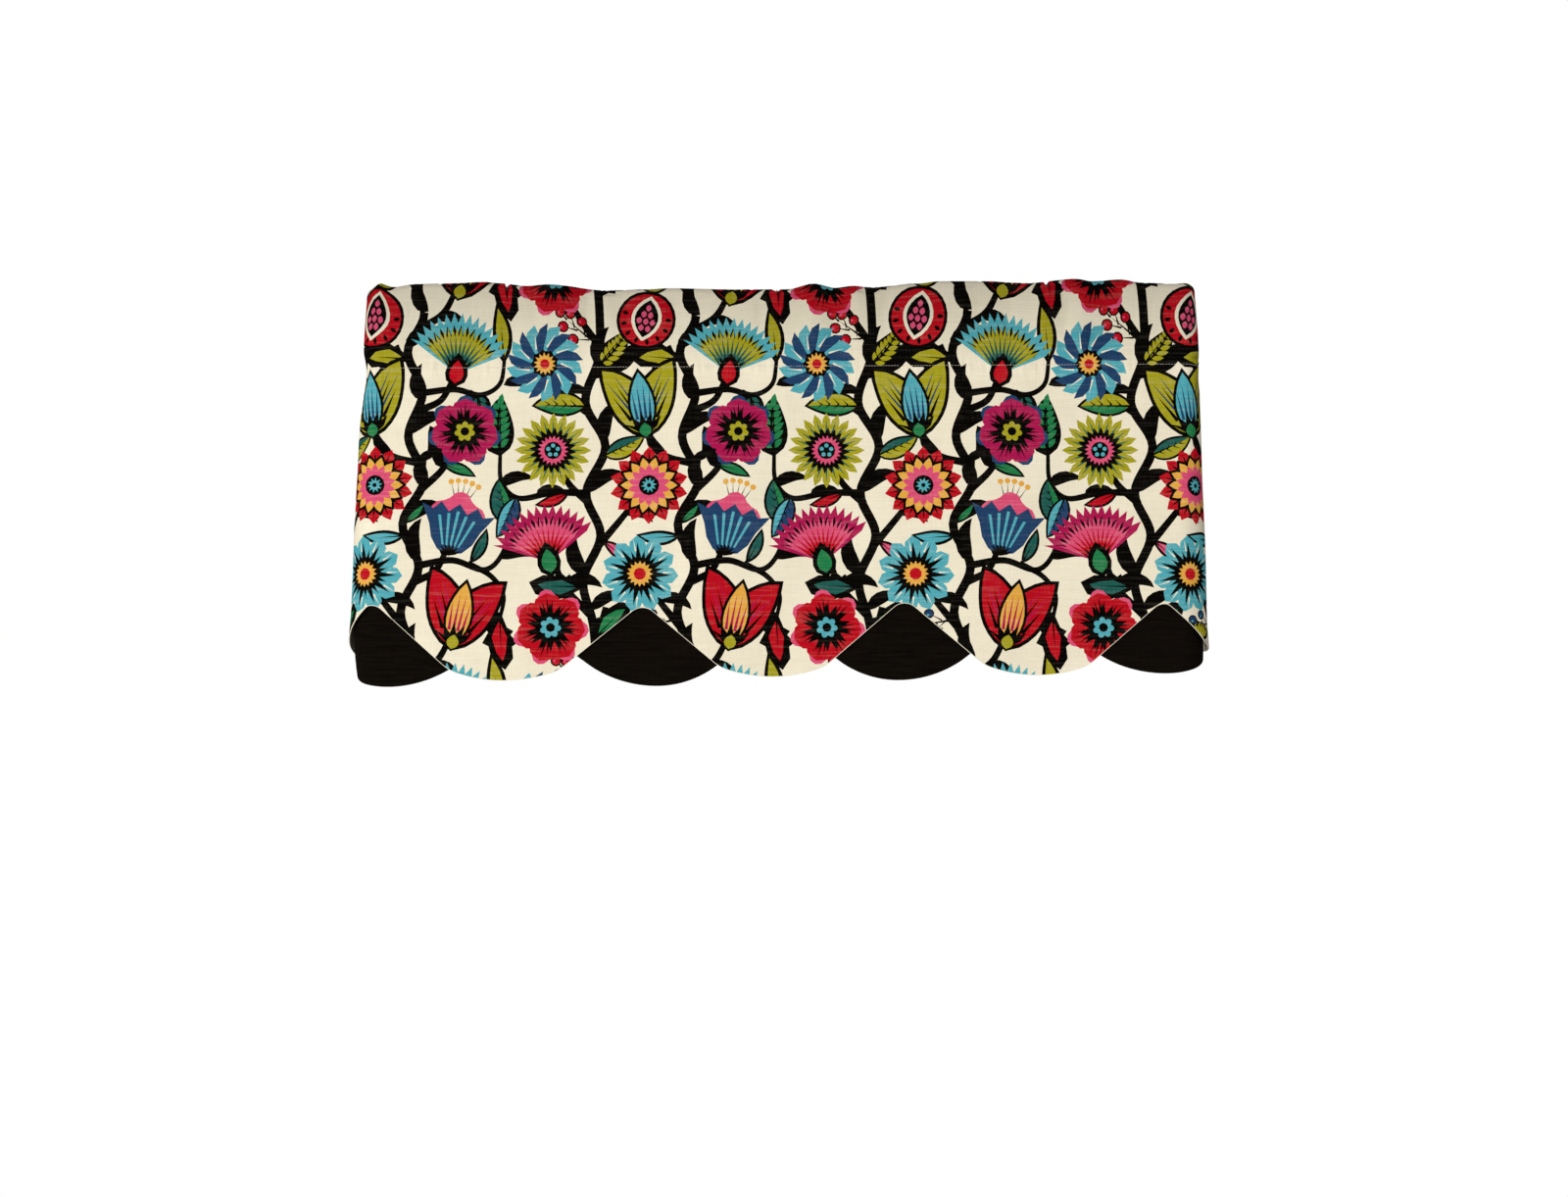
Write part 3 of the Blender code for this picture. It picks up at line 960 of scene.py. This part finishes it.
# In millimetres of flat cloth.
EDGE = 0.55  # width of the turned edge that shows along the hem
HEM_STEP = 2.5
SIDE_STEPS = 70
GRID = 7.5
TURN_GRID = (2.0, 6.0)  # up and across, over the top of the pocket
TURN_MARGIN = 2
SEAM_GRID = (3.0, 2.8)
SEAM_MARGIN = 11
CORNER_GRID = 3.5
CORNERS = (415, 490)  # where the cloth turns back, from the middle
GRID_LEFT, GRID_RIGHT, GRID_TOP = 3, 2, 4  # how far it keeps off the cloth's edges
GRID_LOWEST = -440
CROWD = 3.4  # a grid point this near a printed outline's point is left out
WELD = 0.004
STRAIGHT = 0.03  # how far off a straight line still counts as on it
LONGEST = 6.0  # the longest straight run that is left whole
COVER_SPARE = 1.0  # how much area a cover may differ from its outline
REPEATS = range(-4, 5)

# The bake layout: the outer face at the bottom, the inner one above it, the rim between.
BAKE_ACROSS = 0.494
BAKE_UP = 0.49
BAKE_LOWS = (0.006, 0.504)
BAKE_RIM = (0.4985, 0.0030)


def flat_outline(step):
    """The printed cloth laid flat, anticlockwise in millimetres, and its hem alone."""
    count = round(2 * CLOTH_END / MM / step)
    places = [CLOTH_END * (2 * index / count - 1) for index in range(count + 1)]
    hem = []
    for place in places:
        run = hem_drop(PRINTED_HEM, PRINTED_ROUNDS, place) + TURN_SPARE
        hem.append((place / MM, -run / MM))
    end, top = CLOTH_END / MM, -FLAP_RUN / MM
    side = range(1, SIDE_STEPS)
    sides = [(hem[-1][1] + (top - hem[-1][1]) * index / SIDE_STEPS) for index in side]
    right = [(end, height) for height in sides]
    left = [(-end, height) for height in sides[::-1]]
    across = [(x, top) for x, _ in hem[::-2]]
    return hem + right + across + left, hem


def inside_hem(hem, width):
    """The hem's line moved this far into the cloth."""
    line = []
    for index, (x, y) in enumerate(hem):
        before, after = hem[max(index - 1, 0)], hem[min(index + 1, len(hem) - 1)]
        across, up = after[0] - before[0], after[1] - before[1]
        length = math.hypot(across, up)
        line.append((x - up * width / length, y + across * width / length))
    return line


def area_of(outline):
    """The outline's area, above zero where it goes round anticlockwise."""
    return sum(a[0] * b[1] - b[0] * a[1] for a, b in zip(outline, outline[1:] + outline[:1])) / 2


def printed_shapes(outline):
    """(colour, outline) of all the print that reaches this outline, lowest first."""
    lowest = min(y for _, y in outline) - 1
    highest = max(y for _, y in outline) + 1
    end = CLOTH_END / MM + 1
    found = []
    for shape in repeat():
        for column in REPEATS:
            for row in REPEATS:
                across = column * REPEAT[0] + REPEAT_START[0]
                up = row * REPEAT[1] + REPEAT_START[1]
                xs = [x + across for _, part in shape for x, _ in part]
                ys = [y + up for _, part in shape for _, y in part]
                if min(xs) < end and max(xs) > -end and min(ys) < highest and max(ys) > lowest:
                    found += [(colour, moved(part, across, up)) for colour, part in shape]
    return found


def grid_points(taken):
    """Points that make the cloth bend smoothly, closer where it bends more."""
    cells = {(round(x / CROWD), round(y / CROWD)) for x, y in taken}
    points = []
    height = -FLAP_RUN / MM - GRID_TOP
    while height > GRID_LOWEST:
        up = across = GRID
        if abs(height) < QUARTER / MM + TURN_MARGIN:
            up, across = TURN_GRID
        elif abs(height + (SEAM_DROP + TURN_SPARE) / MM) < SEAM_MARGIN:
            up, across = SEAM_GRID
        x = -CLOTH_END / MM + GRID_LEFT
        while x < CLOTH_END / MM - GRID_RIGHT:
            if (round(x / CROWD), round(height / CROWD)) not in cells:
                points.append((x, height))
            x += min(across, CORNER_GRID) if CORNERS[0] < abs(x) < CORNERS[1] else across
        height -= up
    return points


def placed(name, data):
    """A new object of this mesh, light or camera, in the scene."""
    piece = bpy.data.objects.new(name, data)
    bpy.context.scene.collection.objects.link(piece)
    return piece


def add_sheet(name, points, normals, faces, flats, inks, materials):
    """A closed sheet from its outer face: points holds (outer, inner) for each vertex, and
    flats its place on the flat cloth. Inks holds the ink of each face and of the rim."""
    count = len(points)
    sides = sides_of(faces)
    rim = [(b, a, a + count, b + count) for a, b in sides if (b, a) not in sides]
    inner = [tuple(vertex + count for vertex in face[::-1]) for face in faces]
    places = [outer for outer, _ in points] + [inside for _, inside in points]
    mesh = bpy.data.meshes.new(name)
    mesh.from_pydata(places, [], [*map(tuple, faces), *inner, *rim])
    for material in materials:
        mesh.materials.append(material)
    layers = [0] * len(faces) + [1] * len(inner) + [0] * len(rim)
    reverse = len(materials) - 1
    mesh.polygons.foreach_set("material_index", [min(layer, reverse) for layer in layers])
    last_run, first_run = max(-flat[1] for flat in flats), min(-flat[1] for flat in flats)
    bake = mesh.uv_layers.new(name="OFBake")
    cloth = mesh.uv_layers.new(name="cloth")
    bake_places, cloth_places, corner_normals, colours = [], [], [], []
    for index, polygon in enumerate(mesh.polygons):
        is_rim = index >= 2 * len(faces)
        is_inner = layers[index] == 1
        for vertex in polygon.vertices:
            across, up = flats[vertex % count]
            share = (-up - first_run) / (last_run - first_run)
            height = BAKE_LOWS[layers[index]] + BAKE_UP * (1 - share)
            normal = -normals[vertex % count] if is_inner else normals[vertex % count]
            if is_rim:
                height = BAKE_RIM[0] + (BAKE_RIM[1] if vertex >= count else 0.0)
                normal = polygon.normal.copy()
            bake_places += [0.5 + BAKE_ACROSS * across / CLOTH_END, height]
            cloth_places += [across, up]
            corner_normals.append(normal)
        if inks:
            ink = inks[1] if is_rim else inks[0][index % len(faces)]
            colours += [*ink] * polygon.loop_total
    bake.data.foreach_set("uv", bake_places)
    cloth.data.foreach_set("uv", cloth_places)
    if inks:
        printed = mesh.color_attributes.new(name="print", type="FLOAT_COLOR", domain="CORNER")
        printed.data.foreach_set("color", colours)
    mesh.shade_smooth()
    mesh.normals_split_custom_set(corner_normals)
    return placed(name, mesh)


def facing(surface, place, run):
    """The way the outer face of a cloth looks here."""
    along = surface(place + FACING_STEP, run) - surface(place - FACING_STEP, run)
    down = surface(place, run + FACING_STEP) - surface(place, run - FACING_STEP)
    return down.cross(along).normalized()


def two_sided(surface, place, run, on_rim):
    """The outer and the inner point of a sheet here, and its normal. Its rim is rounded."""
    tuck = EDGE_ROUND if on_rim else 0.0
    pair = tuple(surface(place, run, depth) for depth in (tuck, THICKNESS - tuck))
    return pair, facing(surface, place, run)


def inside(outline, x, y):
    """Whether the outline goes round this point."""
    crossings = 0
    for (ax, ay), (bx, by) in zip(outline, outline[1:] + outline[:1]):
        if (ay > y) != (by > y) and x < ax + (y - ay) / (by - ay) * (bx - ax):
            crossings += 1
    return crossings % 2 == 1


def painted_faces(loops):
    """Triangles of all the outlines together, and the last outline that covers each. The
    first outline is the cloth, and what lies outside it is left out."""
    points, polygons = [], []
    for loop in loops:
        polygons.append(list(range(len(points), len(points) + len(loop))))
        points += loop
    found = delaunay_2d_cdt([Vector(point) for point in points], [], polygons, 1, WELD, True)
    vertices, _, faces, _, _, covers = found
    covers = [set(cover) for cover in covers]
    covered = [0.0] * len(loops)
    for face, cover in zip(faces, covers):
        area = area_of([vertices[vertex] for vertex in face])
        for loop in cover:
            covered[loop] += area
    middles = [sum((vertices[vertex] for vertex in face), Vector((0, 0))) / 3 for face in faces]
    for index, loop in enumerate(loops):
        # Where outlines share an edge, a cover can spread outside its own outline.
        if abs(covered[index] - area_of(loop)) > COVER_SPARE:
            for cover, (x, y) in zip(covers, middles):
                cover.discard(index)
                if inside(loop, x, y):
                    cover.add(index)
    kept = [index for index, cover in enumerate(covers) if 0 in cover]
    tops = [max(covers[index]) if 1 in covers[index] else 0 for index in kept]
    return vertices, [tuple(faces[index]) for index in kept], tops


def sides_of(faces):
    """Each directed side of the faces, and the face that it belongs to."""
    sides = {}
    for index, face in enumerate(faces):
        for a, b in zip(face, face[1:] + face[:1]):
            sides[a, b] = index
    return sides


def colour_borders(vertices, faces, paints):
    """The points and edges where one colour meets another, with straight runs left whole."""
    sides = sides_of(faces)
    neighbours = {}
    for (a, b), face in sides.items():
        other = sides.get((b, a))
        if other is None or paints[other] != paints[face]:
            neighbours.setdefault(a, set()).add(b)
            neighbours.setdefault(b, set()).add(a)
    for vertex in list(neighbours):
        if len(neighbours[vertex]) != 2:
            continue
        a, b = neighbours[vertex]
        first, second = vertices[vertex] - vertices[a], vertices[b] - vertices[vertex]
        longest = max(first.length, second.length)
        if b in neighbours[a] or longest > LONGEST or not (first.length and second.length):
            continue
        off = abs(first.cross(second)) / (first + second).length
        if first.dot(second) > 0 and off < STRAIGHT:
            del neighbours[vertex]
            neighbours[a].symmetric_difference_update((vertex, b))
            neighbours[b].symmetric_difference_update((vertex, a))
    number = {vertex: index for index, vertex in enumerate(neighbours)}
    edges = [(number[a], number[b]) for a in neighbours for b in neighbours[a] if a < b]
    return [tuple(vertices[vertex]) for vertex in neighbours], edges


def make_printed_sheet():
    """The printed cloth: cut along every border of its print, bent to its folds."""
    outline, hem = flat_outline(HEM_STEP)
    edge_line = inside_hem(hem, EDGE)
    loops = [outline, [*edge_line, *outline[len(hem):]]]
    colours = ["cream edge", "cream"]
    for colour, part in printed_shapes(outline):
        colours.append(colour)
        loops.append(part if area_of(part) > 0 else part[::-1])
    flat, flat_faces, tops = painted_faces(loops)
    paints = [colours[top] for top in tops]
    tree = BVHTree.FromPolygons([(x, y, 0.0) for x, y in flat], flat_faces)
    points, edges = colour_borders(flat, flat_faces, paints)
    points += grid_points(points)
    found = delaunay_2d_cdt([Vector(point) for point in points], edges, [], 0, WELD, False)
    vertices, faces = found[0], [tuple(face) for face in found[2]]
    kept, inks = [], []
    for face in faces:
        x, y = sum((vertices[vertex] for vertex in face), Vector((0, 0))) / 3
        _, _, index, away = tree.find_nearest((x, y, 0.0))
        if away < WELD:
            kept.append(face)
            inks.append(INKS[paints[index]])
    used = sorted({vertex for face in kept for vertex in face})
    number = {vertex: index for index, vertex in enumerate(used)}
    kept = [tuple(number[vertex] for vertex in face) for face in kept]
    flats = [(vertices[vertex][0] * MM, vertices[vertex][1] * MM) for vertex in used]
    sides = sides_of(kept)
    rim = {vertex for a, b in sides if (b, a) not in sides for vertex in (a, b)}
    laid = [
        two_sided(printed_point, place, -up, index in rim)
        for index, (place, up) in enumerate(flats)
    ]
    places, normals = zip(*laid)
    materials = [make_printed_cotton("printed_cotton", 1.0)]
    materials.append(make_printed_cotton("printed_cotton_reverse", SHOW_THROUGH))
    look = (inks, INKS["cream edge"])
    sheet = add_sheet("printed_sheet", places, normals, kept, flats, look, materials)
    return sheet, area_of(outline) * MM * MM


def make_black_sheet():
    """The black cloth, in even columns from above the seam to its hem."""
    columns, rows = BLACK_COLUMNS, BLACK_ROWS
    top = SEAM_DROP - BLACK_ABOVE_SEAM
    flats, laid = [], []
    area = 0.0
    for column in range(columns + 1):
        place = CLOTH_END * (2 * column / columns - 1)
        hem = hem_drop(BLACK_HEM, BLACK_ROUNDS, place)
        area += (hem - top) * 2 * CLOTH_END / columns
        for row in range(rows + 1):
            drop = top + (hem - top) * row / rows
            on_rim = row in (0, rows) or column in (0, columns)
            flats.append((place, -drop))
            laid.append(two_sided(black_point, place, drop, on_rim))
    places, normals = zip(*laid)
    faces = []
    for column in range(columns):
        for row in range(rows):
            corner = column * (rows + 1) + row
            faces.append((corner, corner + 1, corner + rows + 2, corner + rows + 1))
    sheet = add_sheet("black_sheet", places, normals, faces, flats, None, [make_black_cotton()])
    return sheet, area


STITCH = 0.0031
STITCH_GAP = 0.0007
STITCH_SINK = 0.00006
STITCH_SIDES = 6
# Thickness along a stitch: how far along, and its share of the thread's.
STITCH_SECTIONS = ((0.0, 0.3), (0.08, 0.8), (0.3, 1.0), (0.7, 1.0), (0.92, 0.8), (1.0, 0.3))
THREAD = 0.00040
FIRST_STITCH = 0.006  # in from the left end of the cloth
LAST_STITCH = 0.008
SEAM_LEAN = -0.0029  # the seam climbs a little from left to right


def seam_line(place):
    """Drop of the stitches at this place."""
    return SEAM_DROP + SEAM_LEAN * place / CLOTH_END


def make_stitches(name, side, material):
    """A row of seam stitches on the front (1) or the back (-1) of the pocket."""
    mesh = bmesh.new()
    place = -CLOTH_END + FIRST_STITCH
    while place < CLOTH_END - LAST_STITCH:
        rings = []
        for share, size in STITCH_SECTIONS:
            at = place + share * (STITCH - STITCH_GAP)
            run = side * (seam_line(at) + TURN_SPARE)
            middle = printed_point(at, run, -STITCH_SINK * math.sin(math.pi * share))
            out = facing(printed_point, at, run)
            up = Vector((0.0, 0.0, 1.0))
            ring = []
            for corner in range(STITCH_SIDES):
                angle = math.tau * corner / STITCH_SIDES
                offset = (out * math.cos(angle) + up * math.sin(angle)) * THREAD / 2 * size
                ring.append(mesh.verts.new(middle + offset))
            rings.append(ring)
        for ring, following in zip(rings, rings[1:]):
            for corner in range(STITCH_SIDES):
                other = (corner + 1) % STITCH_SIDES
                mesh.faces.new((ring[corner], ring[other], following[other], following[corner]))
        mesh.faces.new(rings[0][::-1])
        mesh.faces.new(rings[-1])
        place += STITCH
    bmesh.ops.recalc_face_normals(mesh, faces=mesh.faces)
    data = bpy.data.meshes.new(name)
    mesh.to_mesh(data)
    mesh.free()
    data.shade_smooth()
    data.materials.append(material)
    return placed(name, data)


# ---------------------------------------------------------------- stage

FLOOR = {"size": 7.0, "location": (0.0, 0.0, -1.9)}
FLOOR_TONES = (0.90, 0.90, 0.89), (0.94, 0.94, 0.93)
WHITE = (1.0, 1.0, 1.0, 1.0)
ROOM_LIGHT = 0.37
ROOM_SEEN = 1.0
LAMP_SIZE = 1.9
LAMP_WATTS = 378.0
LAMP_PLACE = Vector((-3.2, -6.5, -0.95))
LAMP_AIM = Vector((0.0, 0.0, -0.2))
CARD_SIDES = (-0.98, 0.46)
CARD_HEIGHTS = (-0.085, 0.060)
CARD_Y = -0.55
LENS = 43.7
CAMERA_PLACE = (0.0067, -2.008, -0.5576)
CAMERA_TILT = 96.3


def make_stage():
    """A pale floor, well below the valance."""
    bpy.ops.mesh.primitive_plane_add(**FLOOR)
    floor = bpy.context.object
    floor.name = "floor"
    look = Look("floor", Roughness=0.9, Metallic=0.0)
    place = look.node("ShaderNodeTexCoord", {}, {}, "Object")
    tone = look.noise(place, 2.0).between(0.3, 0.7)
    look.feed(look.shader.inputs["Base Color"], look.mix(tone, *FLOOR_TONES))
    floor.data.materials.append(look.material)


def make_lights():
    """Soft studio light: a white room and a broad light in front, to the left and low."""
    world = bpy.data.worlds.new("white_room")
    bpy.context.scene.world = world
    world.use_nodes = True
    tree = world.node_tree
    light = tree.nodes["Background"]
    seen = tree.nodes.new("ShaderNodeBackground")
    for background, strength in ((light, ROOM_LIGHT), (seen, ROOM_SEEN)):
        background.inputs["Color"].default_value = WHITE
        background.inputs["Strength"].default_value = strength
    path = tree.nodes.new("ShaderNodeLightPath")
    both = tree.nodes.new("ShaderNodeMixShader")
    tree.links.new(path.outputs["Is Camera Ray"], both.inputs[0])
    tree.links.new(light.outputs[0], both.inputs[1])
    tree.links.new(seen.outputs[0], both.inputs[2])
    tree.links.new(both.outputs[0], tree.nodes["World Output"].inputs["Surface"])
    lamp = bpy.data.lights.new("front_light", "AREA")
    lamp.size = LAMP_SIZE
    lamp.energy = LAMP_WATTS
    holder = placed("front_light", lamp)
    holder.location = LAMP_PLACE
    holder.rotation_euler = (LAMP_AIM - LAMP_PLACE).to_track_quat("-Z", "Y").to_euler()


def make_shade_card():
    """A black card between light and valance, so that the light fades out over the pocket."""
    mesh = bpy.data.meshes.new("shade_card")
    (left, right), (low, high) = CARD_SIDES, CARD_HEIGHTS
    corners = [(left, low), (right, low), (right, high), (left, high)]
    mesh.from_pydata([(x, CARD_Y, z) for x, z in corners], [], [(0, 1, 2, 3)])
    mesh.materials.append(Look("shade_card", Base_Color=(0.01, 0.01, 0.01, 1.0)).material)
    card = placed("shade_card", mesh)
    card.visible_camera = False


def make_camera():
    """The view from the room, from a little below the hem and looking up."""
    camera = placed("camera", bpy.data.cameras.new("camera"))
    camera.data.lens = LENS
    camera.location = CAMERA_PLACE
    camera.rotation_euler = (math.radians(CAMERA_TILT), 0.0, 0.0)
    bpy.context.scene.camera = camera


def main():
    """Builds everything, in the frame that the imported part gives."""
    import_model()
    make_camera()
    make_lights()
    make_stage()
    make_shade_card()
    bpy.context.scene.view_settings.view_transform = "Standard"
    printed, printed_area = make_printed_sheet()
    black, black_area = make_black_sheet()
    thread = make_thread()
    stitches = [
        make_stitches("seam_stitches_front", 1, thread),
        make_stitches("seam_stitches_back", -1, thread),
    ]
    for piece in (printed, black, *stitches):
        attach(piece, "root")
    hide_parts("printed_layer")
    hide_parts("black_layer")


main()
